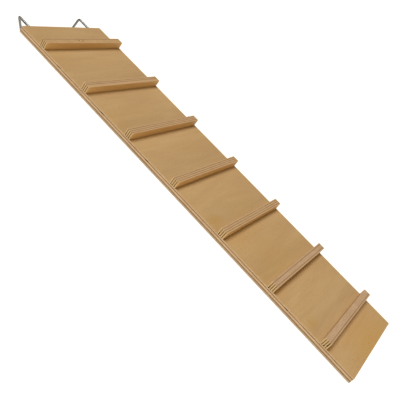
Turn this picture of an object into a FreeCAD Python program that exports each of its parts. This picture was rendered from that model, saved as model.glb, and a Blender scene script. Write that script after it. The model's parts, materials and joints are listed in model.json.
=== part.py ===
import FreeCAD, Part
import math
import os

# A plywood ramp for small animals, millimetres. Seven square cleats cross its face from edge to edge,
# and two screw hooks in its upper end face drop over a shelf edge or a mesh wall.
#
# Row frame: the origin is the centre of the board's underside. +X runs up the slope to the hooks,
# +Z stands out of the trodden face, and +Y is to the left of somebody who walks up the ramp.

# Board
BOARD_LENGTH = 600.0
BOARD_WIDTH = 160.0
BOARD_THICKNESS = 9.0
BOARD_CORNER_RADIUS = 1.5
BOARD_EDGE_CHAMFER = 0.4

# Cleats, square strips sawn from plywood; cleat_1 is the one nearest the hooks
CLEAT_COUNT = 7
CLEAT_SIDE = 10.0
CLEAT_EDGE_CHAMFER = 0.35
TOP_MARGIN = 37.0                # from the board's upper end to the first cleat
CLEAT_PITCH = 85.0

# Screw hooks, bent from round wire
WIRE_RADIUS = 1.75
HOOK_EDGE_DISTANCE = 19.0        # from the board's side edge to the hook's screw
HOOK_REACH = 26.0                # from the board's end face to the middle of the drop leg
HOOK_DROP = 28.0                 # from the middle of the shank to the leg's free end
HOOK_BEND_RADIUS = 3.2           # at the middle of the wire
HOOK_END_CHAMFER = 0.4
HOOK_PLAIN_SHANK = 3.0           # smooth wire that runs into the board before the thread starts
HOOK_THREAD_LENGTH = 17.0
HOOK_TIP_LENGTH = 4.0
HOOK_THREAD_DEPTH = 0.4
HOOK_THREAD_PITCH = 1.7
HOOK_BORE_CLEARANCE = 0.05       # radial, so that the hook can be turned in the board
LEFT_HOOK_TURN = 35.0            # degrees that the left leg leans inwards from straight down
RIGHT_HOOK_TURN = 12.0

# Countersunk wood screws, 3 x 16, two to a cleat, driven from the underside
SCREW_EDGE_DISTANCE = 25.0
SCREW_LENGTH = 16.0
SCREW_SINK = 0.2                 # how far the head lies below the underside
SCREW_HEAD_RADIUS = 2.9
SCREW_HEAD_RIM = 0.3
SCREW_CREST_RADIUS = 1.5
SCREW_ROOT_RADIUS = 1.0
SCREW_THREAD_START = 6.4         # from the top of the head
SCREW_THREAD_PITCH = 1.35
SCREW_TIP_LENGTH = 2.4
SCREW_BORE_CLEARANCE = 0.1
RECESS_SPAN = 3.2                # the cross recess in the head
RECESS_WIDTH = 0.7
RECESS_DEPTH = 1.2

AXIS_X = FreeCAD.Vector(1, 0, 0)
AXIS_Z = FreeCAD.Vector(0, 0, 1)
BOARD_TOP_END = BOARD_LENGTH / 2
HOOK_HEIGHT = BOARD_THICKNESS / 2
HOOK_OFFSET = BOARD_WIDTH / 2 - HOOK_EDGE_DISTANCE
SCREW_OFFSET = BOARD_WIDTH / 2 - SCREW_EDGE_DISTANCE
SIDES = (("left", 1), ("right", -1))


def cleat_middle_x(number):
    """Where the middle of a cleat lies along the board."""
    return BOARD_TOP_END - TOP_MARGIN - CLEAT_SIDE / 2 - (number - 1) * CLEAT_PITCH


def chamfered_block(length, width, height, chamfer, corner_radius=0.0):
    """A block centred on X and Y that stands on z = 0, its upright edges rounded, the rest eased."""
    block = Part.makeBox(length, width, height, FreeCAD.Vector(-length / 2, -width / 2, 0))
    if corner_radius:
        upright = [edge for edge in block.Edges if abs(edge.BoundBox.ZLength - height) < 1e-6]
        block = block.makeFillet(corner_radius, upright)
        level = [edge for edge in block.Edges if edge.BoundBox.ZLength < 1e-6]
        return block.makeChamfer(chamfer, level)
    return block.makeChamfer(chamfer, block.Edges)


def turned(profile):
    """A solid turned about Z from (radius, height) points; the first and last lie on the axis."""
    points = [FreeCAD.Vector(radius, 0, height) for radius, height in profile]
    outline = Part.makePolygon(points + points[:1])
    return Part.Face(outline).revolve(FreeCAD.Vector(0, 0, 0), AXIS_Z, 360)


def thread_profile(start, end, crest, root, pitch):
    """Ridges from start to end, as (radius, height) points of a 60 degree wood thread."""
    count = int((end - start) / pitch)
    flank = (crest - root) * math.tan(math.radians(30))
    points = []
    for index in range(count):
        foot = start + index * pitch
        points.append((root, foot))
        points.append((crest, foot + flank))
        points.append((crest, foot + flank + 0.1))
        points.append((root, foot + 2 * flank + 0.1))
    return points


def screw_body():
    """One screw without its recess: head at z = 0, pointing up."""
    head_end = SCREW_HEAD_RIM + SCREW_HEAD_RADIUS - SCREW_CREST_RADIUS
    thread_end = SCREW_LENGTH - SCREW_TIP_LENGTH
    profile = [(0, 0), (SCREW_HEAD_RADIUS, 0), (SCREW_HEAD_RADIUS, SCREW_HEAD_RIM)]
    profile += [(SCREW_CREST_RADIUS, head_end), (SCREW_CREST_RADIUS, SCREW_THREAD_START - 0.5)]
    profile += thread_profile(SCREW_THREAD_START, thread_end, SCREW_CREST_RADIUS,
                              SCREW_ROOT_RADIUS, SCREW_THREAD_PITCH)
    profile += [(SCREW_ROOT_RADIUS, thread_end), (0.1, SCREW_LENGTH), (0, SCREW_LENGTH)]
    return turned(profile)


def cross_recess():
    """The driver's cross in the screw head, tapering inwards."""
    half = RECESS_SPAN / 2
    wing = Part.makePolygon([FreeCAD.Vector(-half, 0, -0.1), FreeCAD.Vector(half, 0, -0.1),
                             FreeCAD.Vector(half * 0.35, 0, RECESS_DEPTH),
                             FreeCAD.Vector(-half * 0.35, 0, RECESS_DEPTH),
                             FreeCAD.Vector(-half, 0, -0.1)])
    slab = Part.Face(wing).extrude(FreeCAD.Vector(0, RECESS_WIDTH, 0))
    slab.translate(FreeCAD.Vector(0, -RECESS_WIDTH / 2, 0))
    other = slab.copy()
    other.rotate(FreeCAD.Vector(0, 0, 0), AXIS_Z, 90)
    return slab.fuse(other)


def screw_bore():
    """The clearance hole and countersink that a screw needs in the board."""
    gap = SCREW_BORE_CLEARANCE
    sink_radius = SCREW_HEAD_RADIUS + gap
    sink_end = SCREW_SINK + SCREW_HEAD_RIM + gap
    bore_radius = SCREW_CREST_RADIUS + gap
    profile = [(0, -0.1), (sink_radius, -0.1), (sink_radius, sink_end)]
    profile += [(bore_radius, sink_end + sink_radius - bore_radius)]
    profile += [(bore_radius, BOARD_THICKNESS + 0.1), (0, BOARD_THICKNESS + 0.1)]
    return turned(profile)


def at(shape, x, y, z):
    """A copy of a shape moved to a place."""
    moved = shape.copy()
    moved.translate(FreeCAD.Vector(x, y, z))
    return moved


def along_x(shape):
    """Turn a shape made about +Z so that it points along -X, into the board's end."""
    laid = shape.copy()
    laid.rotate(FreeCAD.Vector(0, 0, 0), FreeCAD.Vector(0, 1, 0), -90)
    return laid


def hook_screw():
    """The threaded part of a hook, from the board's end face inwards, pointing up +Z."""
    root = WIRE_RADIUS - HOOK_THREAD_DEPTH
    thread_end = HOOK_PLAIN_SHANK + HOOK_THREAD_LENGTH
    profile = [(0, 0), (WIRE_RADIUS, 0), (WIRE_RADIUS, HOOK_PLAIN_SHANK)]
    profile += thread_profile(HOOK_PLAIN_SHANK + 0.4, thread_end, WIRE_RADIUS, root, HOOK_THREAD_PITCH)
    profile += [(root, thread_end), (0.15, thread_end + HOOK_TIP_LENGTH), (0, thread_end + HOOK_TIP_LENGTH)]
    return turned(profile)


def hook_bore():
    """The hole that a hook's screw turns in."""
    radius = WIRE_RADIUS + HOOK_BORE_CLEARANCE
    straight = HOOK_PLAIN_SHANK + HOOK_THREAD_LENGTH + HOOK_BORE_CLEARANCE
    profile = [(0, -1), (radius, -1), (radius, straight)]
    profile += [(0.2, straight + HOOK_TIP_LENGTH), (0, straight + HOOK_TIP_LENGTH)]
    return along_x(turned(profile))


def hook_wire():
    """The bare wire from the end face: out along +X, a tight square bend, and down the drop leg."""
    bend = HOOK_BEND_RADIUS
    corner = HOOK_REACH
    middle = bend * math.sin(math.radians(45))
    bend_start = FreeCAD.Vector(corner - bend, 0, 0)
    bend_middle = FreeCAD.Vector(corner - bend + middle, 0, middle - bend)
    bend_end = FreeCAD.Vector(corner, 0, -bend)
    leg_end = FreeCAD.Vector(corner, 0, -HOOK_DROP)
    edges = [
        Part.makeLine(FreeCAD.Vector(0, 0, 0), bend_start),
        Part.Arc(bend_start, bend_middle, bend_end).toShape(),
        Part.makeLine(bend_end, leg_end),
    ]
    path = Part.Wire(edges)
    section = Part.Wire(Part.makeCircle(WIRE_RADIUS, FreeCAD.Vector(0, 0, 0), AXIS_X))
    wire = path.makePipeShell([section], True, False)
    end_edges = [edge for edge in wire.Edges if edge.BoundBox.ZMax < -HOOK_DROP + 0.01]
    return wire.makeChamfer(HOOK_END_CHAMFER, end_edges)


def hook(side, turn):
    """One hook in its place. A positive turn leans the drop leg inwards, to the board's middle."""
    shape = hook_wire().fuse(along_x(hook_screw())).removeSplitter()
    shape.rotate(FreeCAD.Vector(0, 0, 0), AXIS_X, -side * turn)
    return at(shape, BOARD_TOP_END, side * HOOK_OFFSET, HOOK_HEIGHT)


def board():
    """The ramp board with its screw holes and the two hook holes in its upper end."""
    shape = chamfered_block(BOARD_LENGTH, BOARD_WIDTH, BOARD_THICKNESS, BOARD_EDGE_CHAMFER,
                            BOARD_CORNER_RADIUS)
    holes = []
    for number in range(1, CLEAT_COUNT + 1):
        for _, side in SIDES:
            holes.append(at(screw_bore(), cleat_middle_x(number), side * SCREW_OFFSET, 0))
    for _, side in SIDES:
        holes.append(at(hook_bore(), BOARD_TOP_END, side * HOOK_OFFSET, HOOK_HEIGHT))
    return shape.cut(holes)


def cleat(number, screws):
    """One cleat, with the holes that its screws have cut in it."""
    shape = chamfered_block(CLEAT_SIDE, BOARD_WIDTH, CLEAT_SIDE, CLEAT_EDGE_CHAMFER)
    return at(shape, cleat_middle_x(number), 0, BOARD_THICKNESS).cut(screws)


def export(shape, name):
    """Write one piece to its own STEP file."""
    solids = shape.Solids
    if len(solids) != 1 or not solids[0].isValid():
        raise RuntimeError(name + " is not one valid solid")
    solids[0].exportStep("parts/" + name + ".step")
    print(name, "volume %.0f mm3" % solids[0].Volume)


os.makedirs("parts", exist_ok=True)
export(board(), "ramp_board")

screw_blank = screw_body()
screw = screw_blank.cut(cross_recess())
for cleat_number in range(1, CLEAT_COUNT + 1):
    x = cleat_middle_x(cleat_number)
    blanks = [at(screw_blank, x, side * SCREW_OFFSET, SCREW_SINK) for _, side in SIDES]
    export(cleat(cleat_number, blanks), "cleat_%d" % cleat_number)
    for side_name, side in SIDES:
        placed = at(screw, x, side * SCREW_OFFSET, SCREW_SINK)
        export(placed, "cleat_%d_screw_%s" % (cleat_number, side_name))

export(hook(1, LEFT_HOOK_TURN), "hook_left")
export(hook(-1, RIGHT_HOOK_TURN), "hook_right")
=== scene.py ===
import json
import math

import bmesh
import bpy
from mathutils import Matrix, Vector, noise


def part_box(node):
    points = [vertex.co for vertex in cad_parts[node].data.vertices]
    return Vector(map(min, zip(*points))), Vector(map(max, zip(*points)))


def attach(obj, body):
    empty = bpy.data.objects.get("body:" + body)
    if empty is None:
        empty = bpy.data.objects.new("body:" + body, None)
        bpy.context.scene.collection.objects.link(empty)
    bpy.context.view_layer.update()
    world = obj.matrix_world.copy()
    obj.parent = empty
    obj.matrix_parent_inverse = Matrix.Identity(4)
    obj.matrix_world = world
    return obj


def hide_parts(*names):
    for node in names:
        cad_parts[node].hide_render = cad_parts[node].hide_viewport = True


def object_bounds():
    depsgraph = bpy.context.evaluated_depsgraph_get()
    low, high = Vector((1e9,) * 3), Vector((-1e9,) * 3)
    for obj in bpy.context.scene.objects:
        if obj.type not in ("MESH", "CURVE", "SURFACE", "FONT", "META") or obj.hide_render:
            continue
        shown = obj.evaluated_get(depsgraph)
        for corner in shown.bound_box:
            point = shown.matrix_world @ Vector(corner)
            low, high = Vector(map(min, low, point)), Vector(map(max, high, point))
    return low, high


# The looks of a plywood ramp: a board and seven cleats built up ply by ply, zinc plated hooks and
# screws. Everything is in metres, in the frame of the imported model: +X up the ramp, +Z out of its face.

MM = 0.001

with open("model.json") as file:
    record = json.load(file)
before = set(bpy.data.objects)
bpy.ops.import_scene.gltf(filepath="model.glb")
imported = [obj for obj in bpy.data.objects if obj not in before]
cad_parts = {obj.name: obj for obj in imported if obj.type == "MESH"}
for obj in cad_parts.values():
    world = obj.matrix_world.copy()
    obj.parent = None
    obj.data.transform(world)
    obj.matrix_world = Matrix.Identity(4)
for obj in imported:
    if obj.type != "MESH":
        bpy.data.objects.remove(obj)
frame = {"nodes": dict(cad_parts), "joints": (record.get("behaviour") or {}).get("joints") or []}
cad_low, cad_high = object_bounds()

# ---------------------------------------------------------------------------------------------------
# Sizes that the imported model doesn't state
# ---------------------------------------------------------------------------------------------------
GLUE_THICKNESS = 0.12 * MM
GLUE_RECESS = 0.10 * MM
DARK_PLY_RECESS = 0.05 * MM
EDGE_EASE = 0.35 * MM            # the worn arris of a face veneer
WEAR_LEAST = 0.6                 # of that, where the edge is least worn
WEAR_SPREAD = 0.9                # and so much more of it where the edge is most worn
WEAR_LENGTH = 6 * MM             # the length of edge over which the wear changes
EDGE_ROUGHNESS = 0.06 * MM       # how far a sawn edge wanders
ROUGHNESS_LENGTH = 11 * MM       # the length of edge over which it wanders
PLY_SHIFT = 10 * MM              # makes each ply wander in its own way
BOARD_CORNER_RADIUS = 1.5 * MM
BOARD_MESH_STEPS = (1.5 * MM, 2.0 * MM)     # along the board and across it
CLEAT_CORNER_RADIUS = 0.6 * MM
CLEAT_MESH_STEPS = (2.0 * MM, 0.8 * MM)     # along the cleat and up it
CORNER_ARC_STEPS = 4
# How near to an axis a normal is on a straight side, and on the half of a corner next to that side
STRAIGHT_SIDE = 0.99
SIDE_WITH_CORNER = 0.7
BOARD_PLY_SHARES = (0.27, 0.18, 0.27, 0.13, 0.15)      # from the underside up
CLEAT_PLY_SHARES = (0.16, 0.12, 0.16, 0.12, 0.16, 0.12, 0.16)
CLEAT_COUNT = 7
# Which of a cleat's seven plies show as darker lines in its top, ply 0 being the one up the slope
TOP_DARK_PLIES = {1: (1,), 2: (1, 3), 3: (1, 3, 5), 4: (1, 3, 5), 5: (1, 3, 5), 6: (1, 5), 7: (5,)}
SCREW_BORE_GAP = 0.1 * MM
SCREW_SHANK_RADIUS = 1.6 * MM
SCREW_HEAD_RIM = 0.4 * MM        # the upright part of the countersink
HOOK_BORE_RADIUS = 1.8 * MM
HOOK_BORE_DEPTH = 24.3 * MM
BORE_FACETS = 32
CUT_PAST = 1 * MM                # how far a cutter goes past the board's surface

# Gaps in the thin dark ply under the face, where two pieces of veneer don't meet. Each one's place
# along the board and its length are in mm.
BOARD_VOIDS = ((221.5, 6.0), (134.0, 6.5), (48.0, 6.0), (-196.0, 4.0))
BOARD_VOID_PLY = 3
# On the cleats' left ends: cleat, ply, lowest and highest point in mm above the board's face
CLEAT_VOIDS = ((5, 1, 0.0, 3.4), (6, 1, 0.0, 3.8), (7, 5, 3.6, 9.0), (7, 3, 0.0, 2.0))
VOID_DEPTH = 3.0 * MM
VOID_SLOPE = 2.5                 # how soon a gap reaches its full depth from each end

# Yellower patches in the face's colour: above the fifth and the seventh cleat, and at the lower end.
# Each one's x and y and its half widths are in mm, and so are the knot's.
FACE_YELLOW_PATCHES = ((-62, 62, 22, 34), (-226, 62, 18, 30), (-300, -10, 70, 150))
TOP_KNOT = (258, 9, 3.2, 11)     # in the top of the first cleat

# ---------------------------------------------------------------------------------------------------
# Values for the floor, the light and the camera
# ---------------------------------------------------------------------------------------------------
FLOOR_DROP = 1.2                 # how far the floor lies below the ramp
FLOOR_SIZE = 60.0
FLOOR_GLOW = 0.20                # keeps the far floor as white as the backdrop
KEY_TOWARDS = (0.38, 0.15, 0.91)
KEY_STRENGTH = 2.5
KEY_ANGLE = 30
FILL_TOWARDS = (-0.92, 0.30, 0.20)
FILL_STRENGTH = 1.45
FILL_ANGLE = 40
FILL_COLOUR = (1.0, 0.83, 0.58)
AMBIENT = 0.22                   # the strength of the light that comes from all round
AMBIENT_WARM = (1.0, 0.80, 0.44, 1.0)       # what falls on the wood
AMBIENT_NEUTRAL = (0.92, 0.92, 0.92, 1.0)   # what the metal reflects
WHITE = (1.0, 1.0, 1.0, 1.0)
CAMERA_PLACE = (-0.1915, 0.6886, 0.3847)
CAMERA_RIGHT = (-0.6715, -0.4977, 0.5490)
CAMERA_DOWN = (-0.7091, 0.2165, -0.6711)
CAMERA_NEAR = 0.02               # nearer things aren't drawn
SENSOR_WIDTH = 36.0              # this and the focal length in mm
FOCAL_LENGTH = 55.269


# ---------------------------------------------------------------------------------------------------
# Material building
# ---------------------------------------------------------------------------------------------------
def srgb(red, green, blue):
    """A colour given in 0 to 255 display values, as the linear colour that a shader wants."""
    def linear(value):
        value /= 255.0
        if value <= 0.04045:
            return value / 12.92
        return ((value + 0.055) / 1.055) ** 2.4
    return (linear(red), linear(green), linear(blue), 1.0)


# The sockets that a Mix node uses when it mixes colours
MIX_FACTOR, MIX_FIRST, MIX_SECOND = 0, 6, 7
MIX_RESULT = 2


class Graph:
    """A material's node tree, with short calls for the nodes that the finishes here use."""

    def __init__(self, name):
        self.material = bpy.data.materials.new(name)
        self.material.use_nodes = True
        self.nodes = self.material.node_tree.nodes
        self.links = self.material.node_tree.links
        self.shader = self.nodes["Principled BSDF"]
        self.place = self.nodes.new("ShaderNodeTexCoord").outputs["Object"]

    def feed(self, socket, given):
        """Give a socket what comes out of another one, or a constant."""
        if isinstance(given, bpy.types.NodeSocket):
            self.links.new(given, socket)
        else:
            socket.default_value = given

    def stretched(self, scale, offset=(0, 0, 0)):
        """The object's coordinates, scaled along each axis."""
        node = self.nodes.new("ShaderNodeMapping")
        node.inputs["Scale"].default_value = scale
        node.inputs["Location"].default_value = offset
        self.links.new(self.place, node.inputs["Vector"])
        return node.outputs["Vector"]

    def noise(self, vector, scale, detail=3.0, roughness=0.55, distortion=0.0):
        node = self.nodes.new("ShaderNodeTexNoise")
        node.inputs["Scale"].default_value = scale
        node.inputs["Detail"].default_value = detail
        node.inputs["Roughness"].default_value = roughness
        node.inputs["Distortion"].default_value = distortion
        self.links.new(vector, node.inputs["Vector"])
        return node.outputs["Fac"]

    def ramp(self, value, *stops):
        """A colour ramp; each stop is a place and a colour or a grey value."""
        node = self.nodes.new("ShaderNodeValToRGB")
        elements = node.color_ramp.elements
        while len(elements) < len(stops):
            elements.new(0.5)
        for element, (place, colour) in zip(elements, stops):
            element.position = place
            element.color = colour if isinstance(colour, tuple) else (colour, colour, colour, 1.0)
        self.links.new(value, node.inputs["Fac"])
        return node.outputs["Color"]

    def mix(self, factor, first, second, mode="MIX"):
        """Mix two colours; factor, first and second are sockets or constants."""
        node = self.nodes.new("ShaderNodeMix")
        node.data_type = "RGBA"
        node.blend_type = mode
        for number, given in ((MIX_FACTOR, factor), (MIX_FIRST, first), (MIX_SECOND, second)):
            self.feed(node.inputs[number], given)
        return node.outputs[MIX_RESULT]

    def math(self, operation, first, second=0.0):
        node = self.nodes.new("ShaderNodeMath")
        node.operation = operation
        self.feed(node.inputs[0], first)
        self.feed(node.inputs[1], second)
        return node.outputs[0]

    def spot(self, place_x, place_y, half_x, half_y):
        """0 at a place on the face, in mm, growing to 1 at the edge of an oval round it."""
        scale = (1 / (half_x * MM), 1 / (half_y * MM), 0.0)
        offset = (-place_x / half_x, -place_y / half_y, 0.0)
        node = self.nodes.new("ShaderNodeVectorMath")
        node.operation = "LENGTH"
        self.links.new(self.stretched(scale, offset), node.inputs[0])
        return node.outputs["Value"]

    def bump(self, height, strength, distance):
        node = self.nodes.new("ShaderNodeBump")
        node.inputs["Strength"].default_value = strength
        node.inputs["Distance"].default_value = distance
        self.links.new(height, node.inputs["Height"])
        self.links.new(node.outputs["Normal"], self.shader.inputs["Normal"])

    def colour(self, socket):
        self.links.new(socket, self.shader.inputs["Base Color"])

    def roughness(self, socket):
        self.links.new(socket, self.shader.inputs["Roughness"])


def veneer(name, dark, middle, light, grain_axis, patch_colour, seed, yellow_patches=()):
    """Bare sanded rotary-cut veneer: soft figure, fine fibres and short pores along grain_axis.

    Each patch given is a soft oval of patch_colour, as x, y and the two half widths in mm.
    """
    graph = Graph(name)

    def along(share):
        return tuple(share if axis == grain_axis else 1.0 for axis in range(3))

    offset = (seed * 0.37, seed * 0.53, seed * 0.11)
    figure = graph.noise(graph.stretched(along(0.16), offset), 42, detail=4, distortion=0.6)
    broad = graph.noise(graph.stretched(along(0.5), offset), 11, detail=2, roughness=0.5)
    streaks = graph.noise(graph.stretched(along(0.035), offset), 420, detail=4, roughness=0.6)
    fibres = graph.noise(graph.stretched(along(0.02), offset), 1900, detail=2, roughness=0.6)
    pores = graph.noise(graph.stretched(along(0.13), offset), 1700, detail=1, roughness=0.4)

    tone = graph.math("ADD", graph.math("MULTIPLY", figure, 0.6), graph.math("MULTIPLY", streaks, 0.4))
    wood = graph.ramp(tone, (0.34, dark), (0.5, middle), (0.66, light))
    wood = graph.mix(graph.ramp(broad, (0.50, 0.0), (0.72, 0.5)), wood, patch_colour)
    for yellow_patch in yellow_patches:
        ragged = graph.math("ADD", graph.spot(*yellow_patch), graph.math("MULTIPLY", figure, 0.8))
        wood = graph.mix(graph.ramp(ragged, (0.4, 0.9), (1.0, 0.0)), wood, patch_colour)
    fibre_shade = graph.ramp(fibres, (0.35, 0.965), (0.6, 1.0))
    wood = graph.mix(1.0, wood, fibre_shade, "MULTIPLY")
    pore_shade = graph.ramp(pores, (0.25, srgb(228, 215, 200)), (0.32, 1.0))
    graph.colour(graph.mix(1.0, wood, pore_shade, "MULTIPLY"))
    graph.roughness(graph.ramp(streaks, (0.3, 0.56), (0.7, 0.70)))
    graph.shader.inputs["Specular IOR Level"].default_value = 0.32
    relief = graph.math("ADD", graph.math("MULTIPLY", fibres, 0.6), graph.math("MULTIPLY", pores, 0.9))
    graph.bump(relief, strength=0.35, distance=0.12 * MM)
    return graph.material


def sawn_ply(name, dark, light, thin_axis, pore_strength, seed, knot=None):
    """The sawn edge of one ply: streaks within the ply, open pores, and a dry rough surface.

    knot is an oval pin knot, as x, y and its two half widths in mm.
    """
    graph = Graph(name)
    stretch = tuple(1.0 if axis == thin_axis else 0.07 for axis in range(3))
    offset = (seed * 0.29, seed * 0.17, seed * 0.41)
    streaks = graph.noise(graph.stretched(stretch, offset), 1500, detail=4, roughness=0.65)
    blotches = graph.noise(graph.stretched((1, 1, 1), offset), 55, roughness=0.6)
    grit = graph.noise(graph.stretched((1, 1, 1), offset), 2600, detail=2, roughness=0.6)
    wood = graph.ramp(graph.math("ADD", graph.math("MULTIPLY", streaks, 0.65),
                                 graph.math("MULTIPLY", blotches, 0.35)),
                      (0.34, dark), (0.66, light))
    if knot:
        ragged = graph.math("ADD", graph.spot(*knot), graph.math("MULTIPLY", blotches, 0.5))
        ring = graph.ramp(ragged, (0.45, srgb(222, 190, 128)), (0.62, srgb(126, 92, 54)),
                          (0.80, srgb(176, 142, 96)))
        wood = graph.mix(graph.ramp(ragged, (0.70, 1.0), (0.98, 0.0)), wood, ring)
    open_pores = graph.ramp(grit, (0.30, 1.0 - pore_strength), (0.46, 1.0))
    graph.colour(graph.mix(1.0, wood, open_pores, "MULTIPLY"))
    graph.roughness(graph.ramp(grit, (0.3, 0.86), (0.7, 0.72)))
    graph.shader.inputs["Specular IOR Level"].default_value = 0.22
    relief = graph.math("ADD", grit, graph.math("MULTIPLY", streaks, 0.8))
    graph.bump(relief, strength=0.5, distance=0.15 * MM)
    return graph.material


def glue_line(name):
    """The dark resin line between two plies."""
    graph = Graph(name)
    mottle = graph.noise(graph.stretched((1, 1, 1)), 160, roughness=0.6)
    graph.colour(graph.ramp(mottle, (0.35, srgb(122, 90, 56)), (0.65, srgb(158, 122, 82))))
    graph.roughness(graph.ramp(mottle, (0.3, 0.5), (0.7, 0.7)))
    graph.bump(mottle, strength=0.2, distance=0.1 * MM)
    return graph.material


def zinc(name, dark, light, gloss, seed):
    """Zinc plating on drawn steel: faint drawing lines, spangle and duller patches.

    gloss is the roughness of the brightest and of the dullest patches.
    """
    graph = Graph(name)
    offset = (seed * 0.7, 0, seed * 0.3)
    spangle = graph.noise(graph.stretched((1, 1, 1), offset), 700, roughness=0.6)
    dull = graph.noise(graph.stretched((1, 1, 1), offset), 130, roughness=0.6)
    scratches = graph.noise(graph.stretched((0.05, 1, 1), offset), 4200, detail=2, roughness=0.5)
    graph.colour(graph.ramp(spangle, (0.35, dark), (0.65, light)))
    graph.roughness(graph.ramp(dull, (0.35, gloss[0]), (0.7, gloss[1])))
    graph.shader.inputs["Metallic"].default_value = 1.0
    relief = graph.math("ADD", graph.math("MULTIPLY", spangle, 0.5), scratches)
    graph.bump(relief, strength=0.12, distance=0.05 * MM)
    return graph.material


AXIS_X, AXIS_Y, AXIS_Z = 0, 1, 2

board_face = veneer("board_face", srgb(180, 146, 102), srgb(186, 153, 108), srgb(192, 160, 114),
                    AXIS_Y, srgb(186, 148, 89), 1, FACE_YELLOW_PATCHES)
board_light = sawn_ply("board_ply_light", srgb(203, 171, 134), srgb(227, 198, 163), AXIS_Z, 0.2, 2)
board_dark = sawn_ply("board_ply_dark", srgb(142, 110, 76), srgb(176, 145, 106), AXIS_Z, 0.35, 3)
board_grey = sawn_ply("board_ply_grey", srgb(183, 160, 134), srgb(209, 187, 162), AXIS_Z, 0.2, 9)
cleat_face = veneer("cleat_face", srgb(181, 143, 92), srgb(190, 153, 102), srgb(197, 162, 112),
                    AXIS_Y, srgb(188, 143, 86), 4)
cleat_light = sawn_ply("cleat_ply_light", srgb(203, 171, 124), srgb(227, 197, 150), AXIS_X, 0.2, 5)
cleat_dark = sawn_ply("cleat_ply_dark", srgb(122, 93, 50), srgb(153, 122, 75), AXIS_X, 0.4, 6)
cleat_top_light = sawn_ply("cleat_top_light", srgb(182, 149, 111), srgb(200, 168, 130), AXIS_X, 0.14, 7)
cleat_top_dark = sawn_ply("cleat_top_dark", srgb(142, 110, 74), srgb(170, 137, 99), AXIS_X, 0.2, 8)
cleat_top_grey = sawn_ply("cleat_top_grey", srgb(176, 145, 114), srgb(196, 166, 135), AXIS_X, 0.22, 12)
cleat_top_knot = sawn_ply("cleat_top_knot", srgb(178, 145, 104), srgb(196, 164, 122), AXIS_X, 0.14, 11,
                          TOP_KNOT)
TOP_FINISHES = {1: cleat_top_knot, 6: cleat_top_grey, 7: cleat_top_grey}     # the others are alike
glue = glue_line("glue_line")
# The hooks' zinc gets a far darker base than the screws': painted shade, standing in for dark
# surroundings reflected along the wire. Real zinc plating is about as light as the screws'.
hook_zinc_painted_dark = zinc("hook_zinc_painted_dark", (0.15, 0.15, 0.152, 1.0), (0.25, 0.25, 0.25, 1.0), (0.20, 0.32), 1)
screw_zinc = zinc("screw_zinc", (0.46, 0.43, 0.36, 1.0), (0.60, 0.57, 0.49, 1.0), (0.20, 0.36), 2)


# ---------------------------------------------------------------------------------------------------
# Plywood, built ply by ply
# ---------------------------------------------------------------------------------------------------
# Where a material stands in a piece's list. GREY is in the board's only, and the tops in a cleat's.
FACE, LIGHT, DARK, GLUE = range(4)
GREY = 4
TOP_LIGHT, TOP_DARK = 4, 5


def rounded_outline(low_u, high_u, low_v, high_v, radius, steps):
    """Points round a rectangle, anticlockwise, each with its outward normal.

    steps are about how far apart the points are, along u and along v.
    """
    step_u, step_v = steps
    corners = ((high_u - radius, low_v + radius, -90), (high_u - radius, high_v - radius, 0),
               (low_u + radius, high_v - radius, 90), (low_u + radius, low_v + radius, 180))
    sides = ((high_v - low_v, step_v), (high_u - low_u, step_u)) * 2
    points = []
    for (middle_u, middle_v, start), (length, spacing) in zip(corners, sides):
        for step in range(CORNER_ARC_STEPS + 1):
            angle = math.radians(start + 90 * step / CORNER_ARC_STEPS)
            normal = (math.cos(angle), math.sin(angle))
            points.append((middle_u + radius * normal[0], middle_v + radius * normal[1], normal))
        start_u, start_v, normal = points[-1]
        span = length - 2 * radius
        count = max(2, round(span / spacing))
        for step in range(1, count):
            travel = span * step / count
            points.append((start_u - normal[1] * travel, start_v + normal[0] * travel, normal))
    return points


def add_rim(mesh, outline, to_frame, height, inset):
    """The outline's vertices at one height, each set back along its normal by inset(u, v, normal)."""
    rim = []
    for u, v, normal in outline:
        back = inset(u, v, normal)
        rim.append(mesh.verts.new(to_frame(u - normal[0] * back, v - normal[1] * back, height)))
    return rim


def join_rims(mesh, outline, lower, upper, side_material):
    """The band of faces between two rims of the same outline."""
    count = len(outline)
    for index in range(count):
        following = (index + 1) % count
        face = mesh.faces.new((lower[index], lower[following], upper[following], upper[index]))
        face.material_index = side_material(outline[index], outline[following])


def wander(place, size, seed):
    """A smooth random number from 0 to 1 at a place, in metres."""
    return 0.5 + 0.5 * noise.noise(Vector(place) / size + Vector((seed * 7.3, seed * 3.1, 0)))


def void_depth(distance, half_length):
    """How far a gap in a ply reaches in, at a distance along the edge from its middle."""
    share = abs(distance) / half_length
    if share >= 1:
        return 0.0
    return VOID_DEPTH * min(1.0, VOID_SLOPE * (1 - share))


def layer_heights(low, high, shares):
    """(low, high, ply number) of each ply, and (low, high, None) of each glue line between them."""
    glue_total = GLUE_THICKNESS * (len(shares) - 1)
    wood_total = high - low - glue_total
    layers = []
    height = low
    for number, share in enumerate(shares):
        top = height + wood_total * share / sum(shares)
        layers.append((height, top, number))
        height = top
        if number < len(shares) - 1:
            layers.append((height, height + GLUE_THICKNESS, None))
            height += GLUE_THICKNESS
    return layers


def finish_piece(mesh, name, materials):
    """Turn a bmesh into an object with its materials."""
    bmesh.ops.recalc_face_normals(mesh, faces=mesh.faces)
    data = bpy.data.meshes.new(name)
    mesh.to_mesh(data)
    mesh.free()
    for material in materials:
        data.materials.append(material)
    piece = bpy.data.objects.new(name, data)
    bpy.context.scene.collection.objects.link(piece)
    return piece


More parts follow.
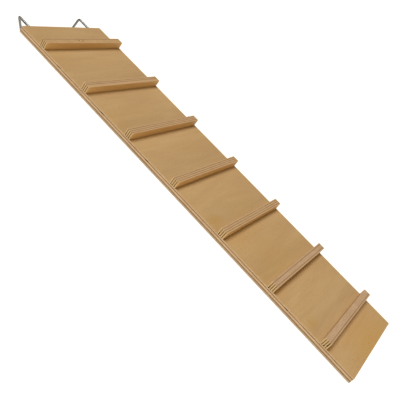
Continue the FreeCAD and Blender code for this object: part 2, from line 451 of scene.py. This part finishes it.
def ply_stack(mesh, outline, to_frame, low, high, shares, seed, void_at, pick_material):
    """Add a plywood piece to a bmesh: one closed shell, whose side steps in and out from ply to ply."""
    last_rim = None
    for bottom, top, ply in layer_heights(low, high, shares):
        is_dark = ply is not None and ply % 2 == 1

        def inset(u, v, normal):
            rough = EDGE_ROUGHNESS * wander((u, v, (ply or 0) * PLY_SHIFT), ROUGHNESS_LENGTH, seed)
            if ply is None:
                return GLUE_RECESS + rough
            return (DARK_PLY_RECESS if is_dark else 0.0) + rough + void_at(ply, u, v, normal)

        def eased(u, v, normal):
            worn = EDGE_EASE * (WEAR_LEAST + WEAR_SPREAD * wander((u, v, 0), WEAR_LENGTH, seed + 5))
            return inset(u, v, normal) + worn

        levels = [(bottom, inset), (top, inset)]
        if bottom == low:
            levels = [(bottom, eased), (bottom + EDGE_EASE, inset), (top, inset)]
        if top == high:
            levels = [(bottom, inset), (top - EDGE_EASE, inset), (top, eased)]
        rims = [add_rim(mesh, outline, to_frame, height, set_back) for height, set_back in levels]
        if last_rim is None:
            mesh.faces.new(list(reversed(rims[0]))).material_index = FACE
        else:
            rims.insert(0, last_rim)
        for lower, upper in zip(rims, rims[1:]):
            join_rims(mesh, outline, lower, upper, pick_material(ply))
        last_rim = rims[-1]
    mesh.faces.new(last_rim).material_index = FACE


def make_board():
    """The ramp board: five plies, with gaps in the dark one under the face, at the left edge."""
    low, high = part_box("ramp_board")
    materials = [board_face, board_light, board_dark, glue, board_grey]
    outline = rounded_outline(low.x, high.x, low.y, high.y, BOARD_CORNER_RADIUS, BOARD_MESH_STEPS)

    def void_at(ply, u, v, normal):
        depth = 0.0
        if ply == BOARD_VOID_PLY and normal[1] > STRAIGHT_SIDE:
            for middle, length in BOARD_VOIDS:
                depth += void_depth(u - middle * MM, length * MM / 2)
        return depth

    def pick_material(ply):
        def side(first, second):
            if ply is None:
                return GLUE
            along_side = abs(first[2][1]) > SIDE_WITH_CORNER
            if ply == 0 and along_side:
                return GREY
            dark = (ply % 2 == 1) if along_side else (ply % 2 == 0)
            return DARK if dark else LIGHT
        return side

    mesh = bmesh.new()
    ply_stack(mesh, outline, lambda u, v, w: (u, v, w), low.z, high.z, BOARD_PLY_SHARES, 1,
              void_at, pick_material)
    return finish_piece(mesh, "ramp_board_plies", materials)


def make_cleat(number):
    """One cleat: seven plies that stand on edge, side by side along the board."""
    low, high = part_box("cleat_%d" % number)
    dark_tops = TOP_DARK_PLIES[number]
    plain_top = TOP_FINISHES.get(number, cleat_top_light)
    materials = [cleat_face, cleat_light, cleat_dark, glue, plain_top, cleat_top_dark]
    outline = rounded_outline(low.y, high.y, low.z, high.z, CLEAT_CORNER_RADIUS, CLEAT_MESH_STEPS)

    def void_at(ply, u, v, normal):
        depth = 0.0
        for cleat, void_ply, bottom, top in CLEAT_VOIDS:
            if cleat == number and void_ply == ply and normal[0] > STRAIGHT_SIDE:
                middle = low.z + (bottom + top) / 2 * MM
                depth += void_depth(v - middle, (top - bottom) / 2 * MM)
        return depth

    def pick_material(ply):
        def side(first, second):
            at_end = abs(first[2][0]) > SIDE_WITH_CORNER
            if not at_end:
                return TOP_DARK if ply in dark_tops else TOP_LIGHT
            if ply is None:
                return GLUE
            return DARK if ply % 2 == 1 else LIGHT
        return side

    mesh = bmesh.new()
    # The plies stack from the up-slope face down the ramp, so ply 0 is the one nearest the hooks.
    ply_stack(mesh, outline, lambda u, v, w: (high.x + low.x - w, u, v), low.x, high.x,
              CLEAT_PLY_SHARES, number + 20, void_at, pick_material)
    return finish_piece(mesh, "cleat_%d_plies" % number, materials)


# ---------------------------------------------------------------------------------------------------
# Holes for the screws and the hooks
# ---------------------------------------------------------------------------------------------------
def turned_cutter(mesh, profile, place, turn):
    """A closed solid turned about +Z from (radius, height) points, then turned and put in place."""
    rings = []
    for radius, height in profile:
        ring = []
        for index in range(BORE_FACETS):
            angle = 2 * math.pi * index / BORE_FACETS
            local = Vector((radius * math.cos(angle), radius * math.sin(angle), height))
            ring.append(mesh.verts.new(turn @ local + place))
        rings.append(ring)
    for lower, upper in zip(rings, rings[1:]):
        for index in range(BORE_FACETS):
            following = (index + 1) % BORE_FACETS
            mesh.faces.new((lower[index], lower[following], upper[following], upper[index]))
    mesh.faces.new(list(reversed(rings[0])))
    mesh.faces.new(rings[-1])


def drill_board(board):
    """Cut the countersunk screw holes and the two hook holes out of the board's plies."""
    low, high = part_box("ramp_board")
    mesh = bmesh.new()
    for number in range(1, CLEAT_COUNT + 1):
        for side in ("left", "right"):
            screw_low, screw_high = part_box("cleat_%d_screw_%s" % (number, side))
            sink = (screw_high.x - screw_low.x) / 2 + SCREW_BORE_GAP
            rim = screw_low.z + SCREW_HEAD_RIM
            profile = ((sink, low.z - CUT_PAST), (sink, rim),
                       (SCREW_SHANK_RADIUS, rim + sink - SCREW_SHANK_RADIUS),
                       (SCREW_SHANK_RADIUS, high.z + CUT_PAST))
            place = (screw_low + screw_high) / 2
            place.z = 0
            turned_cutter(mesh, profile, place, Matrix.Identity(3))
    for joint in frame["joints"]:
        into_board = Matrix.Rotation(math.radians(-90), 3, "Y")
        profile = ((HOOK_BORE_RADIUS, -CUT_PAST), (HOOK_BORE_RADIUS, HOOK_BORE_DEPTH))
        turned_cutter(mesh, profile, Vector(joint["pos_m"]), into_board)
    for face in mesh.faces:
        face.material_index = LIGHT
    cutter = finish_piece(mesh, "cutter", [board_face, board_light])
    modifier = board.modifiers.new("holes", "BOOLEAN")
    modifier.operation = "DIFFERENCE"
    modifier.solver = "MANIFOLD"
    modifier.object = cutter
    shown = bpy.context.evaluated_depsgraph_get()
    drilled = bpy.data.meshes.new_from_object(board.evaluated_get(shown))
    board.modifiers.clear()
    board.data = drilled
    bpy.data.objects.remove(cutter)


# ---------------------------------------------------------------------------------------------------
# The object
# ---------------------------------------------------------------------------------------------------
board = make_board()
drill_board(board)
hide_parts("ramp_board")
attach(board, "ramp")

for cleat_number in range(1, CLEAT_COUNT + 1):
    cleat = make_cleat(cleat_number)
    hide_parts("cleat_%d" % cleat_number)
    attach(cleat, "ramp")

for name, node in frame["nodes"].items():
    if "screw" in name or "hook" in name:
        node.data.materials.clear()
        node.data.materials.append(hook_zinc_painted_dark if "hook" in name else screw_zinc)


# ---------------------------------------------------------------------------------------------------
# Floor, light and camera
# ---------------------------------------------------------------------------------------------------
def make_floor():
    """A plain pale floor, far enough down that the ramp's shadow on it is faint."""
    mesh = bmesh.new()
    bmesh.ops.create_grid(mesh, x_segments=1, y_segments=1, size=FLOOR_SIZE / 2)
    floor_graph = Graph("floor")
    mottle = floor_graph.noise(floor_graph.stretched((1, 1, 1)), 3, detail=2, roughness=0.5)
    floor_graph.colour(floor_graph.ramp(mottle, (0.3, 0.93), (0.7, 0.95)))
    floor_graph.shader.inputs["Roughness"].default_value = 0.9
    floor_graph.shader.inputs["Emission Color"].default_value = WHITE
    floor_graph.shader.inputs["Emission Strength"].default_value = FLOOR_GLOW
    floor = finish_piece(mesh, "floor", [floor_graph.material])
    floor.location.z = cad_low.z - FLOOR_DROP


def sun(name, towards, strength, angle, colour=(1.0, 1.0, 1.0)):
    """A soft distant light that shines from the given direction."""
    data = bpy.data.lights.new(name, "SUN")
    data.energy = strength
    data.angle = math.radians(angle)
    data.color = colour
    light = bpy.data.objects.new(name, data)
    light.rotation_mode = "QUATERNION"
    light.rotation_quaternion = Vector(towards).to_track_quat("Z", "Y")
    bpy.context.scene.collection.objects.link(light)


def make_light():
    """A white studio: the camera sees a white backdrop, but the light from all round is weaker."""
    world = bpy.data.worlds.new("studio")
    bpy.context.scene.world = world
    world.use_nodes = True
    nodes, links = world.node_tree.nodes, world.node_tree.links
    lighting = nodes["Background"]
    lighting.inputs["Strength"].default_value = AMBIENT
    backdrop = nodes.new("ShaderNodeBackground")
    backdrop.inputs["Color"].default_value = WHITE
    seen = nodes.new("ShaderNodeLightPath")
    tint = nodes.new("ShaderNodeMix")
    tint.data_type = "RGBA"
    links.new(seen.outputs["Is Diffuse Ray"], tint.inputs[MIX_FACTOR])
    tint.inputs[MIX_FIRST].default_value = AMBIENT_NEUTRAL
    tint.inputs[MIX_SECOND].default_value = AMBIENT_WARM
    links.new(tint.outputs[MIX_RESULT], lighting.inputs["Color"])
    choice = nodes.new("ShaderNodeMixShader")
    links.new(seen.outputs["Is Camera Ray"], choice.inputs["Fac"])
    links.new(lighting.outputs["Background"], choice.inputs[1])
    links.new(backdrop.outputs["Background"], choice.inputs[2])
    links.new(choice.outputs["Shader"], nodes["World Output"].inputs["Surface"])
    sun("key", KEY_TOWARDS, KEY_STRENGTH, KEY_ANGLE)
    sun("fill", FILL_TOWARDS, FILL_STRENGTH, FILL_ANGLE, FILL_COLOUR)
    bpy.context.scene.view_settings.view_transform = "Standard"


def make_camera():
    """The view, from the left of the ramp, above its face and nearer its lower end."""
    data = bpy.data.cameras.new("camera")
    data.sensor_width = SENSOR_WIDTH
    data.lens = FOCAL_LENGTH
    camera = bpy.data.objects.new("camera", data)
    right = Vector(CAMERA_RIGHT)
    down = Vector(CAMERA_DOWN)
    forward = right.cross(down)
    turn = Matrix((right, -down, -forward)).transposed()
    camera.matrix_world = Matrix.Translation(Vector(CAMERA_PLACE)) @ turn.to_4x4()
    data.clip_start = CAMERA_NEAR
    bpy.context.scene.collection.objects.link(camera)
    bpy.context.scene.camera = camera


make_floor()
make_light()
make_camera()
